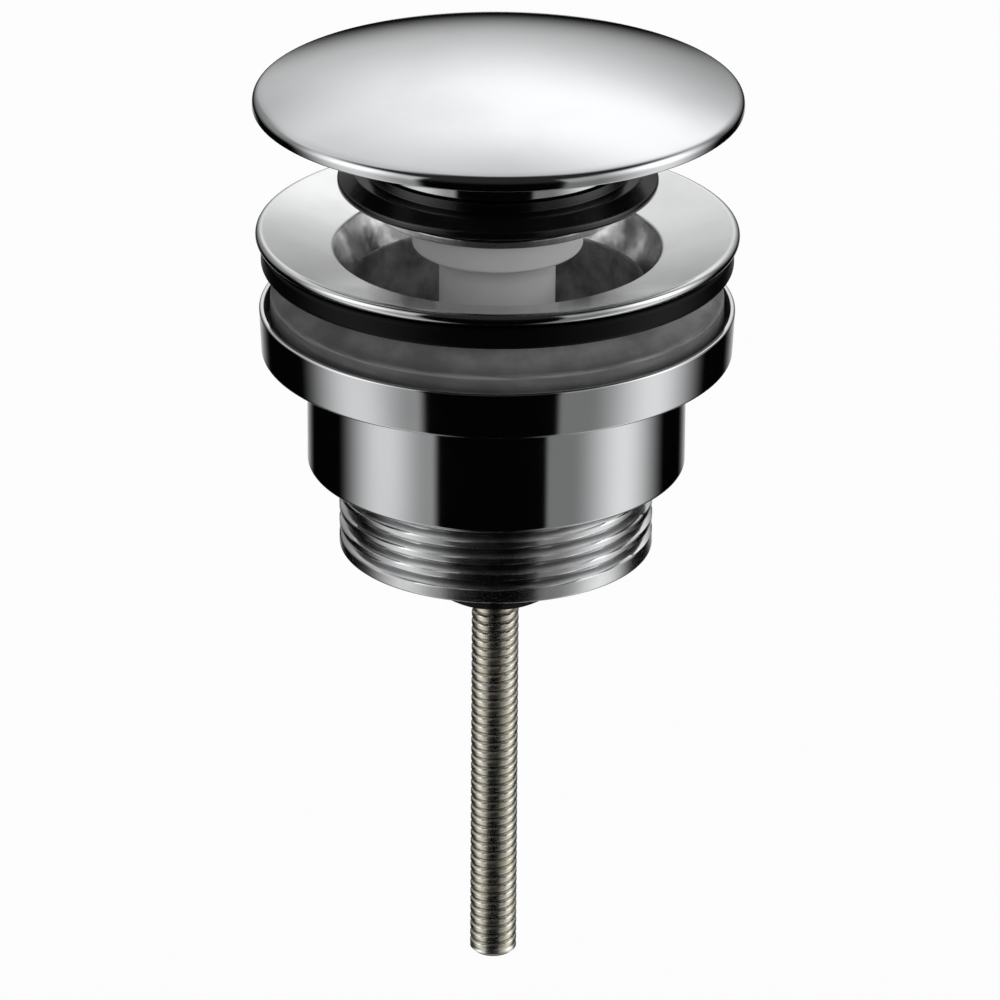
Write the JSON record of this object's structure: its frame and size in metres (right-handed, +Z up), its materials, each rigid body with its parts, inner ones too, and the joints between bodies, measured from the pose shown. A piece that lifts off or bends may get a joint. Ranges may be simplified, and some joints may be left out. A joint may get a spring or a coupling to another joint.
{
  "type": "pop up basin waste",
  "caption": "Round push-open basin waste with a domed mushroom cap, flange, clamping cup, threaded tail and a long central threaded rod.",
  "frame": {"origin": "on the axis of the waste, in the plane under the flange gasket, where the waste sits on the basin", "axes": "+Z up along the axis, towards the cap; X and Y are across the waste, between the bars of the crosses"},
  "size_m": [0.0644, 0.0644, 0.1309],
  "materials": {
    "chrome": "polished",
    "black_rubber": "satin",
    "grey_rubber": "matt, rubbed",
    "white_plastic": "matt",
    "brass": "turned",
    "nickel_steel": "bright nickel plate",
    "black_steel": "black oxide"
  },
  "bodies": {
    "waste": {"flange": "chrome", "flange_gasket": "black_rubber", "through_rod": "nickel_steel", "rod_lock_nut": "nickel_steel", "cartridge_base": "brass", "cartridge_barrel": "white_plastic", "guide_bush": "white_plastic", "return_spring": "nickel_steel"},
    "plug": {"cap": "chrome", "cap_pad": "black_rubber", "cap_stud": "brass", "plug_neck": "chrome", "plug_seal": "black_rubber", "seal_retainer": "chrome", "collar": "white_plastic", "plunger": "white_plastic"},
    "index": {"index_ring": "white_plastic", "index_pin_1": "nickel_steel", "index_pin_2": "nickel_steel", "index_pin_3": "nickel_steel"},
    "tail": {"tail_body": "chrome", "sealing_washer": "grey_rubber", "friction_washer": "white_plastic", "clamp_washer": "black_steel"},
    "nut": {"clamp_nut": "black_steel"}
  },
  "joints": [
    {"name": "plug_slide", "type": "slide", "parent": "waste", "child": "plug", "axis": [0, 0, 1], "range_m": [-0.0095, 0], "stiffness_N_per_m": 420, "springref_m": 0.012, "deforming": ["return_spring"]},
    {"name": "index_turn", "type": "hinge", "parent": "waste", "child": "index", "pos_m": [0, 0, 0.00196], "axis": [0, 0, 1], "range_deg": [0, 60.01]},
    {"name": "tail_slide", "type": "slide", "parent": "waste", "child": "tail", "axis": [0, 0, -1], "range_m": [0, 0.05]},
    {"name": "nut_turn", "type": "hinge", "parent": "tail", "child": "nut", "pos_m": [0, 0, -0.0474], "axis": [0, 0, -1], "range_deg": [0, 14175]}
  ],
  "couplings": [
    {"joint": "index_turn", "follows": "plug_slide", "rad_per_m": -110.23},
    {"joint": "nut_turn", "follows": "tail_slide", "rad_per_m": 4947.4}
  ]
}
